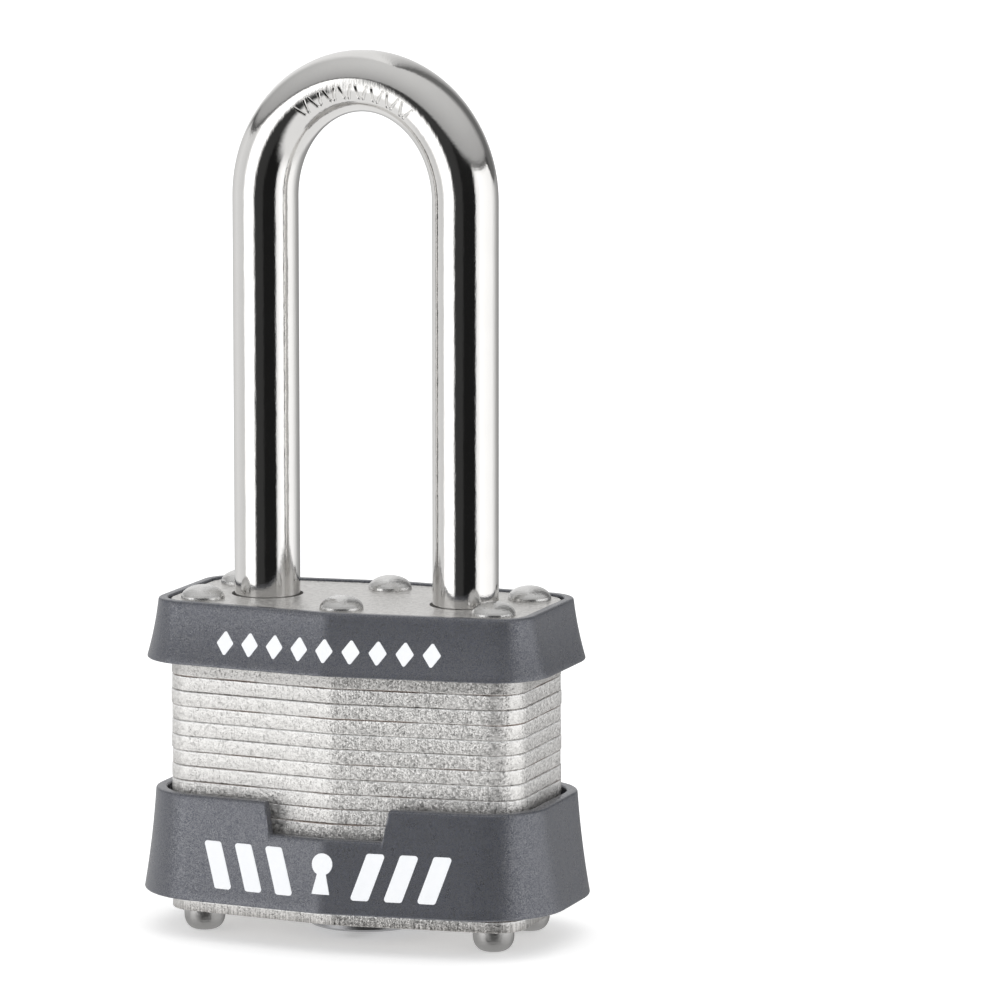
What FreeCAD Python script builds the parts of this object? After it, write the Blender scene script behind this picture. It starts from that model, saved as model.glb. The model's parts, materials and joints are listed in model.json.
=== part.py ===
"""A laminated steel padlock with a long shackle, two bumpers and a four-pin cylinder.

The frame is +Z up with the origin under the middle of the body, at the foot of the bottom rivets.
X runs across the body, from the heel leg (-X) to the toe leg (+X), and the front is at -Y.
The lock is modelled closed with its cylinder turned to open, so both locking levers are drawn back.
Every length is in millimetres and every angle in degrees.
"""

import FreeCAD, Part
import math
import os

V = FreeCAD.Vector
X_AXIS, Y_AXIS, Z_AXIS = V(1, 0, 0), V(0, 1, 0), V(0, 0, 1)

# Body plan: six sides, with the front and back slightly pointed in the middle
BODY_HALF_WIDTH = 19.95
BODY_HALF_DEPTH = 10.41
FACET_SLOPE = 0.105
BODY_CORNER_R = 3.5
FACET_KINK_R = 3.0

# How far every cutting shape runs past the surfaces it cuts
PAST = 1.0

# The stack of plates
RIVET_FOOT = 2.4
COVER_T = 1.25
PLATE_T = 1.6
CYLINDER_PLATES = 12
DIVIDER_PLATES = 2
LEVER_PLATES = 2
UPPER_PLATES = 4
EDGE_ROUND = 0.14
STACK_WANDER = 0.05
WANDER_STEP = 2.3

Z_COVER = RIVET_FOOT
Z_CYLINDER = Z_COVER + COVER_T
Z_DIVIDER = Z_CYLINDER + CYLINDER_PLATES * PLATE_T
Z_LEVER = Z_DIVIDER + DIVIDER_PLATES * PLATE_T
Z_UPPER = Z_LEVER + LEVER_PLATES * PLATE_T
Z_TOP = Z_UPPER + UPPER_PLATES * PLATE_T

# Shackle
BAR_R = 3.5
LEG_X = 11.25
LEG_HOLE_R = 3.82
Z_BOW = Z_TOP + 42.5
BOW_RISE = 12.2
SHACKLE_LIFT = 13.0
TOE_TIP = Z_DIVIDER + 0.45
TIP_CHAMFER = 0.9
NECK_PLAY = 0.4
NOTCH_DEPTH = 1.6
NOTCH_PLAY = 0.1
NECK_R = 2.15
HEEL_HEAD_T = 2.0
HEEL_CHAMFER = 0.5

# Rivets
CORNER_RIVET = (16.4, 5.55)
MIDDLE_RIVET_Y = 7.12
RIVET_R = 1.4
RIVET_HOLE_R = 1.45
HEAD_R = 2.32
HEAD_RISE = 1.45
HEAD_EDGE = 0.1
HEAD_STEPS = 10
FOOT_R = 2.2
FOOT_FLAT_R = 0.95
FOOT_SIDE = 0.8
FOOT_STEPS = 8
INNER_HEAD_R = 2.1
INNER_HEAD_T = 1.2
INNER_HEAD_HOLE_R = 2.3

# Cylinder
PLUG_FACE_R = 6.33
PLUG_FACE_Z = 0.9
PLUG_FACE_PLAY = 0.12
PLUG_CHAMFER = 0.25
PLUG_R = 5.9
PLUG_TOP = 22.3
PLUG_PLAY = 0.05
SHELL_R = 6.9
SHELL_TOP = 21.0
FIT_GAP = 0.05
HOUSING_HALF_WIDTH = 2.7
HOUSING_END_X = 16.5
PIN_COUNT = 4
PIN_PITCH = 3.9
FIRST_PIN_Z = 6.9
KEY_PIN_R = 1.4
PIN_HOLE_R = 1.45
KEY_PIN_TIPS = (1.3, 2.2, 0.9, 1.8)
KEY_PIN_CONE = 0.8
KEY_PIN_FLAT_R = 0.45
KEY_PIN_SINK = 0.25
DRIVER_LENGTH = 4.0
DRIVER_BEVEL = 0.25
DRIVER_GAP = 0.3
PIN_WIRE_R = 0.18
PIN_SPRING_TURNS = 7
SPRING_PLAY = 0.03
PIN_COVER_T = 0.6
PIN_COVER_LOW = Z_CYLINDER + 1.0
CLIP_GROOVE_R = 5.0
CLIP_R = 6.5
CLIP_T = 0.75
CLIP_Z = SHELL_TOP + 0.1
CLIP_OPENING = 70.0
CLIP_PLAY = 0.03
KEYWAY_LOW = -5.0
KEYWAY_HIGH = 3.2
KEYWAY_HALF_T = 0.95
KEYWAY_PAST_PIN = 0.6
# Heights above the keyway's low end, and how far the wall stands out or in there
KEYWAY_RIGHT = ((1.6, 0), (2.1, 0.5), (3.3, 0.5), (3.9, -0.5), (4.8, -0.5), (5.2, 0))
KEYWAY_LEFT = ((5.9, 0), (5.3, 0.5), (4.4, 0.5), (3.8, -0.5), (3.0, -0.5), (2.6, 0))

# Tailpiece
TAIL_HALF_LENGTH = 2.9
TAIL_HALF_T = 1.4
TAIL_FOOT_HALF = 4.4
TAIL_FOOT_HALF_T = 1.4
TAIL_FOOT_DROP = 1.3
TAIL_HOLE_R = 3.2
TAIL_TOP_GAP = 0.15

# Locking levers, drawn back at rest; each swings LEVER_SWING about its middle rivet to lock
LEVER_SWING = 12.0
LEVER_T = 1.5
LEVER_HOLE_R = 1.48
LEVER_BOSS_R = 2.25
BOSS_SEAT_PLAY = 0.15
LEVER_ARM = 1.15
LEVER_ELBOW = (5.6, 4.3)
LOCKED_REACH = 9.0
TONGUE_LENGTH = 2.4
TONGUE_HALF = 1.2
NOSE_R = 1.0
NOSE_X = 4.3
NOSE_Y = 0.2
NOSE_ELBOW_Y = 4.2
LEVER_SPRING_X = 6.75
LEVER_SPRING_START = 3.0
LEVER_SPRING_RAISE = 0.25
LEVER_SPRING_R = 0.75
LEVER_WIRE_R = 0.2
LEVER_SPRING_TURNS = 4
CHAMBER_HALF_X = 9.3
CHAMBER_HALF_Y = 5.9
CHAMBER_BAY_X = 6.3
CHAMBER_BAY_Y = 7.45

# Heel retainer and shackle spring
RETAINER_T = 1.5
RETAINER_HALF_X = 4.1
RETAINER_HALF_Y = 4.0
RETAINER_SLOT = 2.3
SHACKLE_WIRE_R = 0.32
SHACKLE_SPRING_R = 2.7
SHACKLE_SPRING_TURNS = 5

# Bumpers: offsets are measured out from the plates' outline
UPPER_RIM_RISE = 0.2
UPPER_BUMPER_H = 6.5
UPPER_OFFSETS = (1.1, 2.66)
UPPER_CORNERS = (3.9, 6.4)
LOWER_RIM_Z = Z_TOP - 20.3
LOWER_BUMPER_H = 11.05
LOWER_OFFSETS = (1.95, 3.6)
LOWER_CORNERS = (6.4, 9.2)
FLARE_START = 0.55
FLARE_STEPS = 4
BUMPER_MIN_CORNER_R = 1.0
BUMPER_WALL = 1.2
BUMPER_KINK_R = 5.0
LIP_INSET = 1.2
LIP_T = 1.4
LIP_PLAY = 0.04
UPPER_LIP_PLATE = 2
LOWER_LIP_PLATE = 4
NOTCH_TOP_HALF = 7.05
NOTCH_FOOT_HALF = 6.25
NOTCH_H = 3.35
NOTCH_REACH = 30.0


def rounded_wire(points, radii, z=0.0):
    """A closed wire through the points (x, y) at height z, each corner rounded by its radius."""
    corners = [V(x, y, z) for x, y in points]
    spans = []
    for i, (corner, radius) in enumerate(zip(corners, radii)):
        back = (corners[i - 1] - corner).normalize()
        ahead = (corners[(i + 1) % len(corners)] - corner).normalize()
        half = back.getAngle(ahead) / 2
        cut = radius / math.tan(half)
        centre = corner + (back + ahead).normalize() * (radius / math.sin(half))
        middle = centre + (corner - centre).normalize() * radius
        spans.append((corner + back * cut, middle, corner + ahead * cut))
    edges = []
    for i, (start, middle, end) in enumerate(spans):
        edges.append(Part.Arc(start, middle, end).toShape())
        edges.append(Part.LineSegment(end, spans[(i + 1) % len(spans)][0]).toShape())
    return Part.Wire(edges)


def body_wire(offset, corner_r, kink_r, z=0.0):
    """The plates' six-sided outline, moved outwards by offset."""
    half_x = BODY_HALF_WIDTH + offset
    middle_y = BODY_HALF_DEPTH + offset
    side_y = middle_y - FACET_SLOPE * half_x
    points = [
        (half_x, side_y),
        (0, middle_y),
        (-half_x, side_y),
        (-half_x, -side_y),
        (0, -middle_y),
        (half_x, -side_y),
    ]
    radii = [corner_r, kink_r, corner_r, corner_r, kink_r, corner_r]
    return rounded_wire(points, radii, z)


def body_slab(offset, z, height):
    """A slab with the body's outline."""
    wire = body_wire(offset, BODY_CORNER_R + offset, FACET_KINK_R, z)
    return Part.Face(wire).extrude(V(0, 0, height))


def post(x, y, radius, z, height):
    return Part.makeCylinder(radius, height, V(x, y, z))


def box(x0, x1, y0, y1, z0, z1):
    return Part.makeBox(x1 - x0, y1 - y0, z1 - z0, V(x0, y0, z0))


def drill(x, y, radius, z, depth):
    """The round cutter for a hole that starts at z and is depth tall."""
    return post(x, y, radius, z - PAST, depth + 2 * PAST)


def turned(profile, base=None):
    """A solid of revolution about +Z through base, from (radius, z) points."""
    points = [V(r, 0, z) for r, z in profile]
    face = Part.Face(Part.makePolygon(points + points[:1]))
    solid = face.revolve(V(0, 0, 0), Z_AXIS, 360)
    if base:
        solid.translate(base)
    return solid


def coil(radius, wire_r, z0, z1, turns):
    """A compression spring along +Z that fits between z0 and z1."""
    pitch = (z1 - z0 - 2 * wire_r) / turns
    helix = Part.makeHelix(pitch, pitch * turns, radius)
    start = V(radius, 0, 0)
    along = V(0, 2 * math.pi * radius, pitch).normalize()
    section = Part.Wire(Part.Circle(start, along, wire_r).toShape())
    spring = Part.Wire(helix.Edges).makePipeShell([section], True, True)
    spring.translate(V(0, 0, z0 + wire_r))
    return spring


def corner_positions():
    x, y = CORNER_RIVET
    return [(sx * x, sy * y) for sx in (-1, 1) for sy in (-1, 1)]


# ---- Plates ----


def bare_plate(z, thickness, inset=0.0):
    """A plate with its stamped edge rounded and its four corner rivet holes."""
    slab = body_slab(-inset, z, thickness)
    rims = [e for e in slab.Edges if abs(e.BoundBox.ZLength) < 1e-6]
    plate = slab.makeFillet(EDGE_ROUND, rims)
    for x, y in corner_positions():
        plate = plate.cut(drill(x, y, RIVET_HOLE_R, z, thickness))
    return plate


def wander(index):
    """How far plate number index sits inside the nominal outline, as stamped plates vary."""
    return STACK_WANDER * (1 + math.sin(WANDER_STEP * index))


def middle_holes(plate, z, radius):
    for sign in (-1, 1):
        plate = plate.cut(drill(0, sign * MIDDLE_RIVET_Y, radius, z, PLATE_T))
    return plate


def leg_holes(plate, z, signs=(-1, 1)):
    for sign in signs:
        plate = plate.cut(drill(sign * LEG_X, 0, LEG_HOLE_R, z, PLATE_T))
    return plate


def cover_plate():
    """The bottom plate, with only the cylinder's face showing through it."""
    plate = bare_plate(Z_COVER, COVER_T)
    return plate.cut(drill(0, 0, PLUG_FACE_R + PLUG_FACE_PLAY, Z_COVER, COVER_T))


def cylinder_plate(index):
    """One plate round the cylinder's shell, its pin housing and the heel leg."""
    z = Z_CYLINDER + index * PLATE_T
    holds_lip = index == LOWER_LIP_PLATE
    plate = bare_plate(z, PLATE_T, LIP_INSET if holds_lip else wander(index))
    plate = plate.cut(drill(0, 0, SHELL_R + FIT_GAP, z, PLATE_T))
    if z < SHELL_TOP:
        end_x = HOUSING_END_X + PIN_COVER_T + FIT_GAP
        half_y = HOUSING_HALF_WIDTH + FIT_GAP
        plate = plate.cut(box(0, end_x, -half_y, half_y, z - PAST, z + PLATE_T + PAST))
    return leg_holes(plate, z, (-1,))


def divider_plate(index):
    """Plates between the cylinder and the levers; the lower one houses the heel retainer."""
    z = Z_DIVIDER + index * PLATE_T
    plate = bare_plate(z, PLATE_T, wander(CYLINDER_PLATES + index))
    plate = leg_holes(plate, z)
    plate = plate.cut(drill(0, 0, TAIL_HOLE_R, z, PLATE_T))
    if index:
        return middle_holes(plate, z, RIVET_HOLE_R)
    half_x = RETAINER_HALF_X + FIT_GAP
    half_y = RETAINER_HALF_Y + FIT_GAP
    low, high = z - PAST, z + PLATE_T + PAST
    pocket = box(-LEG_X - half_x, -LEG_X + half_x, -half_y, half_y, low, high)
    return middle_holes(plate.cut(pocket), z, INNER_HEAD_HOLE_R)


def chamber(z):
    """The space that the locking levers move in, with a seat for each lever's boss."""
    low, high = z - PAST, z + PLATE_T + PAST
    space = box(-CHAMBER_HALF_X, CHAMBER_HALF_X, -CHAMBER_HALF_Y, CHAMBER_HALF_Y, low, high)
    bay = box(-CHAMBER_BAY_X, CHAMBER_BAY_X, -CHAMBER_BAY_Y, CHAMBER_BAY_Y, low, high)
    space = space.fuse(bay)
    for sign in (-1, 1):
        seat_y = sign * MIDDLE_RIVET_Y
        space = space.fuse(drill(0, seat_y, LEVER_BOSS_R + BOSS_SEAT_PLAY, z, PLATE_T))
    return space


def lever_plate(index):
    z = Z_LEVER + index * PLATE_T
    order = CYLINDER_PLATES + DIVIDER_PLATES + index
    plate = bare_plate(z, PLATE_T, wander(order))
    return leg_holes(plate, z).cut(chamber(z))


def upper_plate(index):
    z = Z_UPPER + index * PLATE_T
    holds_lip = index == UPPER_LIP_PLATE
    order = CYLINDER_PLATES + DIVIDER_PLATES + LEVER_PLATES + index
    plate = bare_plate(z, PLATE_T, LIP_INSET if holds_lip else wander(order))
    return middle_holes(leg_holes(plate, z), z, RIVET_HOLE_R)


# ---- Rivets ----


def head_profile(z):
    """Half of a low domed rivet head whose underside is at z, from its edge to its crown."""
    rise = HEAD_RISE - HEAD_EDGE
    points = [(HEAD_R, z)]
    for i in range(HEAD_STEPS + 1):
        angle = math.radians(90 * i / HEAD_STEPS)
        points.append((HEAD_R * math.cos(angle), z + HEAD_EDGE + rise * math.sin(angle)))
    return points


def foot_profile(z):
    """Half of the tall formed end under the body, from its small flat up to the plate at z."""
    round_z = z - FOOT_SIDE
    points = []
    for i in range(FOOT_STEPS + 1):
        angle = math.radians(90 * i / FOOT_STEPS)
        radius = FOOT_FLAT_R + (FOOT_R - FOOT_FLAT_R) * math.sin(angle)
        points.append((radius, round_z * (1 - math.cos(angle))))
    return [(0, 0)] + points + [(FOOT_R, z)]


def corner_rivets():
    """Four rivets through the whole stack, as one group of solids."""
    profile = foot_profile(Z_COVER) + [(RIVET_R, Z_COVER), (RIVET_R, Z_TOP)]
    profile += head_profile(Z_TOP)
    profile[-1] = (0, Z_TOP + HEAD_RISE)
    return Part.makeCompound([turned(profile, V(x, y, 0)) for x, y in corner_positions()])


def middle_rivet(sign):
    """A short rivet through the upper plates, which is also a locking lever's pivot."""
    under = Z_DIVIDER + PLATE_T
    profile = [
        (0, under - INNER_HEAD_T),
        (INNER_HEAD_R, under - INNER_HEAD_T),
        (INNER_HEAD_R, under),
        (RIVET_R, under),
        (RIVET_R, Z_TOP),
    ]
    profile += head_profile(Z_TOP)
    profile[-1] = (0, Z_TOP + HEAD_RISE)
    return turned(profile, V(0, sign * MIDDLE_RIVET_Y, 0))


# ---- Shackle, its retainer and spring ----


def heel_foot():
    """The heel leg's lowest point, which meets the retainer after SHACKLE_LIFT."""
    return Z_DIVIDER - SHACKLE_LIFT - HEEL_HEAD_T


def lever_notch(sign):
    """The cut on a leg's inner side that a lever's tongue enters."""
    flat_x = LEG_X - BAR_R + NOTCH_DEPTH
    low = Z_LEVER - NOTCH_PLAY
    high = Z_UPPER + NOTCH_PLAY
    if sign > 0:
        return box(0, flat_x, -BAR_R, BAR_R, low, high)
    return box(-flat_x, 0, -BAR_R, BAR_R, low, high)


def shackle():
    bow = Part.Ellipse(V(0, 0, Z_BOW + BOW_RISE), V(LEG_X, 0, Z_BOW), V(0, 0, Z_BOW))
    arc = Part.ArcOfEllipse(bow, -math.pi / 2, math.pi / 2).toShape()
    start, end = arc.Vertexes[0].Point, arc.Vertexes[-1].Point
    section = Part.Wire(Part.Circle(start, Z_AXIS, BAR_R).toShape())
    bar = Part.Wire([arc]).makePipeShell([section], True, True)
    for x, foot in ((LEG_X, TOE_TIP), (-LEG_X, heel_foot())):
        bar = bar.fuse(post(x, 0, BAR_R, foot, Z_BOW - foot))
    for x, foot, bevel in (
        (LEG_X, TOE_TIP, TIP_CHAMFER),
        (-LEG_X, heel_foot(), HEEL_CHAMFER),
    ):
        profile = [
            (BAR_R - bevel, foot - PAST),
            (BAR_R + PAST, foot - PAST),
            (BAR_R + PAST, foot + bevel),
            (BAR_R, foot + bevel),
            (BAR_R - bevel, foot),
        ]
        bar = bar.cut(turned(profile, V(x, 0, 0)))
    neck_low = heel_foot() + HEEL_HEAD_T
    neck_high = Z_DIVIDER + RETAINER_T + NECK_PLAY
    ring = post(-LEG_X, 0, BAR_R + PAST, neck_low, neck_high - neck_low)
    bar = bar.cut(ring.cut(post(-LEG_X, 0, NECK_R, neck_low, neck_high - neck_low)))
    for sign in (-1, 1):
        bar = bar.cut(lever_notch(sign))
    return bar.removeSplitter()


def heel_retainer():
    """A slotted steel plate round the heel leg's neck, which stops the heel leg coming out."""
    z = Z_DIVIDER + FIT_GAP
    plate = box(
        -LEG_X - RETAINER_HALF_X,
        -LEG_X + RETAINER_HALF_X,
        -RETAINER_HALF_Y,
        RETAINER_HALF_Y,
        z,
        z + RETAINER_T,
    )
    plate = plate.cut(drill(-LEG_X, 0, RETAINER_SLOT, z, RETAINER_T))
    low, high = z - PAST, z + RETAINER_T + PAST
    slot = box(-LEG_X, 0, -RETAINER_SLOT, RETAINER_SLOT, low, high)
    return plate.cut(slot)


def shackle_spring():
    spring = coil(
        SHACKLE_SPRING_R,
        SHACKLE_WIRE_R,
        Z_CYLINDER + FIT_GAP,
        heel_foot() - FIT_GAP,
        SHACKLE_SPRING_TURNS,
    )
    spring.translate(V(-LEG_X, 0, 0))
    return spring


# ---- Cylinder ----


def pin_heights():
    return [FIRST_PIN_Z + i * PIN_PITCH for i in range(PIN_COUNT)]


def cylinder_shell():
    """The cast housing: a thin tube for the plug with the pin chambers along its toe side."""
    z = Z_CYLINDER + FIT_GAP
    height = SHELL_TOP - z
    shell = post(0, 0, SHELL_R, z, height)
    shell = shell.fuse(
        box(0, HOUSING_END_X, -HOUSING_HALF_WIDTH, HOUSING_HALF_WIDTH, z, SHELL_TOP)
    )
    shell = shell.cut(drill(0, 0, PLUG_R + PLUG_PLAY, z, height))
    for height in pin_heights():
        hole = Part.makeCylinder(PIN_HOLE_R, HOUSING_END_X + PAST, V(0, 0, height), X_AXIS)
        shell = shell.cut(hole)
    return shell.removeSplitter()


def keyway():
    """The key's slot: a warded section that runs the plug's length up to its last pin."""
    half, low, z = KEYWAY_HALF_T, KEYWAY_LOW, PLUG_FACE_Z - PAST
    points = [(-half, low), (half, low)]
    points += [(half + out, low + rise) for rise, out in KEYWAY_RIGHT]
    points += [(half, KEYWAY_HIGH), (-half, KEYWAY_HIGH)]
    points += [(-half - out, low + rise) for rise, out in KEYWAY_LEFT]
    outline = [V(x, y, z) for x, y in points]
    face = Part.Face(Part.makePolygon(outline + outline[:1]))
    depth = pin_heights()[-1] + PIN_HOLE_R + KEYWAY_PAST_PIN - z
    return face.extrude(V(0, 0, depth))


def plug():
    """The plug that the key turns, with its keyway and pin chambers."""
    body = turned(
        [
            (0, PLUG_FACE_Z),
            (PLUG_FACE_R - PLUG_CHAMFER, PLUG_FACE_Z),
            (PLUG_FACE_R, PLUG_FACE_Z + PLUG_CHAMFER),
            (PLUG_FACE_R, Z_CYLINDER),
            (PLUG_R, Z_CYLINDER),
            (PLUG_R, CLIP_Z - CLIP_PLAY),
            (CLIP_GROOVE_R, CLIP_Z - CLIP_PLAY),
            (CLIP_GROOVE_R, CLIP_Z + CLIP_T + CLIP_PLAY),
            (PLUG_R, CLIP_Z + CLIP_T + CLIP_PLAY),
            (PLUG_R, PLUG_TOP),
            (0, PLUG_TOP),
        ]
    )
    body = body.cut(keyway())
    for height in pin_heights():
        hole = Part.makeCylinder(PIN_HOLE_R, PLUG_R + PAST, V(0, 0, height), Y_AXIS)
        body = body.cut(hole)
    foot_x = TAIL_FOOT_HALF + FIT_GAP
    foot_y = TAIL_FOOT_HALF_T + FIT_GAP
    slot = box(-foot_x, foot_x, -foot_y, foot_y, PLUG_TOP - TAIL_FOOT_DROP, PLUG_TOP + PAST)
    return body.cut(slot)


def plug_clip():
    """The open ring in the plug's groove that holds it in the shell."""
    ring = post(0, 0, CLIP_R, CLIP_Z, CLIP_T)
    ring = ring.cut(drill(0, 0, CLIP_GROOVE_R + CLIP_PLAY, CLIP_Z, CLIP_T))
    half = math.radians(CLIP_OPENING / 2)
    low, far = CLIP_Z - PAST, 2 * CLIP_R
    centre = V(0, 0, low)
    side = V(far * math.cos(half), far * math.sin(half), low)
    wedge = Part.makePolygon([centre, V(side.x, -side.y, low), side, centre])
    return ring.cut(Part.Face(wedge).extrude(V(0, 0, CLIP_T + 2 * PAST)))


def tailpiece():
    """The bar on the plug's end whose blade pushes both levers back when it turns."""
    foot = box(
        -TAIL_FOOT_HALF,
        TAIL_FOOT_HALF,
        -TAIL_FOOT_HALF_T,
        TAIL_FOOT_HALF_T,
        PLUG_TOP - TAIL_FOOT_DROP + FIT_GAP,
        PLUG_TOP,
    )
    top = Z_UPPER - TAIL_TOP_GAP
    reach = TAIL_HALF_LENGTH - TAIL_HALF_T
    blade = box(-reach, reach, -TAIL_HALF_T, TAIL_HALF_T, PLUG_TOP, top)
    for sign in (-1, 1):
        blade = blade.fuse(post(sign * reach, 0, TAIL_HALF_T, PLUG_TOP, top - PLUG_TOP))
    return foot.fuse(blade).removeSplitter()


def key_pin(index):
    """A pointed pin in the plug, held at the plug's surface as the right key holds it."""
    tip = KEY_PIN_TIPS[index]
    top = PLUG_R - KEY_PIN_SINK
    cone_end = tip + KEY_PIN_CONE
    profile = [(0, tip), (KEY_PIN_FLAT_R, tip), (KEY_PIN_R, cone_end), (KEY_PIN_R, top), (0, top)]
    pin = turned(profile)
    pin.rotate(V(0, 0, 0), X_AXIS, -90)
    pin.translate(V(0, 0, pin_heights()[index]))
    return pin


def driver_start():
    """How far from the plug's axis the driver pins begin."""
    return PLUG_R + PLUG_PLAY + DRIVER_GAP


def driver_pin(index):
    start = driver_start()
    end = start + DRIVER_LENGTH
    profile = [
        (0, start),
        (KEY_PIN_R - DRIVER_BEVEL, start),
        (KEY_PIN_R, start + DRIVER_BEVEL),
        (KEY_PIN_R, end),
        (0, end),
    ]
    pin = turned(profile)
    pin.rotate(V(0, 0, 0), Y_AXIS, 90)
    pin.translate(V(0, 0, pin_heights()[index]))
    return pin


def pin_spring(index):
    start = driver_start() + DRIVER_LENGTH + SPRING_PLAY
    end = HOUSING_END_X - SPRING_PLAY
    radius = KEY_PIN_R - PIN_WIRE_R - FIT_GAP
    spring = coil(radius, PIN_WIRE_R, start, end, PIN_SPRING_TURNS)
    spring.rotate(V(0, 0, 0), Y_AXIS, 90)
    spring.translate(V(0, 0, pin_heights()[index]))
    return spring


def pin_cover():
    """The strip that closes the pin chambers."""
    return box(
        HOUSING_END_X,
        HOUSING_END_X + PIN_COVER_T,
        -HOUSING_HALF_WIDTH,
        HOUSING_HALF_WIDTH,
        PIN_COVER_LOW,
        SHELL_TOP,
    )


# ---- Locking levers ----


def bar_between(a, b, half_width, z, height):
    """A flat bar with round ends between the plan points a and b."""
    start, end = V(a[0], a[1], z), V(b[0], b[1], z)
    side = Z_AXIS.cross(end - start).normalize() * half_width
    outline = [start + side, start - side, end - side, end + side, start + side]
    bar = Part.Face(Part.makePolygon(outline)).extrude(V(0, 0, height))
    for x, y in (a, b):
        bar = bar.fuse(post(x, y, half_width, z, height))
    return bar


def half_turn(shape):
    """The shape turned half a turn about the body's axis, from the heel side to the toe side."""
    copy = shape.copy()
    copy.rotate(V(0, 0, 0), Z_AXIS, 180)
    return copy


def lever_floor(layer):
    """The underside of a lever's arms; the heel lever's layer is 0 and the toe lever's is 1."""
    return Z_LEVER + layer * PLATE_T + FIT_GAP


def heel_lever(layer=0):
    """The lever that pivots on the front middle rivet and locks the heel leg."""
    z = lever_floor(layer)
    pivot = (0, -MIDDLE_RIVET_Y)
    elbow = (-LEVER_ELBOW[0], -LEVER_ELBOW[1])
    root_x = TONGUE_LENGTH - LOCKED_REACH
    lever = box(-LOCKED_REACH, root_x, -TONGUE_HALF, TONGUE_HALF, z, z + LEVER_T)
    lever = lever.fuse(bar_between(pivot, elbow, LEVER_ARM, z, LEVER_T))
    wrist = (root_x - LEVER_ARM, 0)
    lever = lever.fuse(bar_between(elbow, wrist, LEVER_ARM, z, LEVER_T))
    lever.rotate(V(0, -MIDDLE_RIVET_Y, 0), Z_AXIS, -LEVER_SWING)
    knee = (NOSE_X, -NOSE_ELBOW_Y)
    lever = lever.fuse(bar_between(pivot, knee, NOSE_R, z, LEVER_T))
    lever = lever.fuse(bar_between(knee, (NOSE_X, NOSE_Y), NOSE_R, z, LEVER_T))
    boss_h = LEVER_PLATES * PLATE_T - 2 * FIT_GAP
    lever = lever.fuse(post(*pivot, LEVER_BOSS_R, lever_floor(0), boss_h))
    lever = lever.cut(drill(*pivot, LEVER_HOLE_R, lever_floor(0), boss_h))
    return lever.removeSplitter()


def toe_lever():
    """The same lever in the other layer, on the rear middle rivet."""
    return half_turn(heel_lever(1))


def heel_lever_spring(layer=0):
    """The spring that pushes the heel lever's tongue towards its notch."""
    wall = CHAMBER_HALF_Y - SPRING_PLAY
    spring = coil(LEVER_SPRING_R, LEVER_WIRE_R, LEVER_SPRING_START, wall, LEVER_SPRING_TURNS)
    spring.rotate(V(0, 0, 0), X_AXIS, -90)
    inward = LEVER_SPRING_RAISE * (1 - 2 * layer)
    spring.translate(V(-LEVER_SPRING_X, 0, lever_floor(layer) + LEVER_T / 2 + inward))
    return spring


def toe_lever_spring():
    return half_turn(heel_lever_spring(1))


# ---- Bumpers ----


def flared_shell(rim_z, height, offsets, corners, inward):
    """A loft down the bumper whose offset grows faster towards its foot."""
    wires = []
    for i in range(FLARE_STEPS + 1):
        t = i / FLARE_STEPS
        share = FLARE_START * t + (1 - FLARE_START) * t * t
        offset = offsets[0] + (offsets[1] - offsets[0]) * share - inward
        corner = corners[0] + (corners[1] - corners[0]) * share - inward
        corner = max(corner, BUMPER_MIN_CORNER_R)
        wires.append(body_wire(offset, corner, BUMPER_KINK_R, rim_z - height * t))
    return Part.makeLoft(wires, True, False)


def bumper(rim_z, height, offsets, corners, wall, plate_z):
    """A flared skirt with a ledge inside it that sits round the narrower plate at plate_z."""
    outer = flared_shell(rim_z, height, offsets, corners, 0.0)
    inner = flared_shell(rim_z, height, offsets, corners, wall)
    skirt = outer.cut(inner)
    low = plate_z + (PLATE_T - LIP_T) / 2
    ledge = body_slab(offsets[1], low, LIP_T)
    ledge = ledge.cut(body_slab(LIP_PLAY - LIP_INSET, low - PAST, LIP_T + 2 * PAST))
    return skirt.fuse(ledge.common(inner)).removeSplitter()


def upper_bumper():
    plate_z = Z_UPPER + UPPER_LIP_PLATE * PLATE_T
    wall = UPPER_OFFSETS[0] - FIT_GAP
    return bumper(
        Z_TOP + UPPER_RIM_RISE, UPPER_BUMPER_H, UPPER_OFFSETS, UPPER_CORNERS, wall, plate_z
    )


def lower_bumper():
    """The lower bumper, whose front is cut down in the middle."""
    plate_z = Z_CYLINDER + LOWER_LIP_PLATE * PLATE_T
    ring = bumper(
        LOWER_RIM_Z, LOWER_BUMPER_H, LOWER_OFFSETS, LOWER_CORNERS, BUMPER_WALL, plate_z
    )
    foot_z = LOWER_RIM_Z - NOTCH_H
    flare = (NOTCH_TOP_HALF - NOTCH_FOOT_HALF) / NOTCH_H
    top_half = NOTCH_TOP_HALF + flare * PAST
    top_z = LOWER_RIM_Z + PAST
    outline = [
        V(-top_half, 0, top_z),
        V(-NOTCH_FOOT_HALF, 0, foot_z),
        V(NOTCH_FOOT_HALF, 0, foot_z),
        V(top_half, 0, top_z),
        V(-top_half, 0, top_z),
    ]
    window = Part.Face(Part.makePolygon(outline)).extrude(V(0, -NOTCH_REACH, 0))
    return ring.cut(window)


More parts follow.
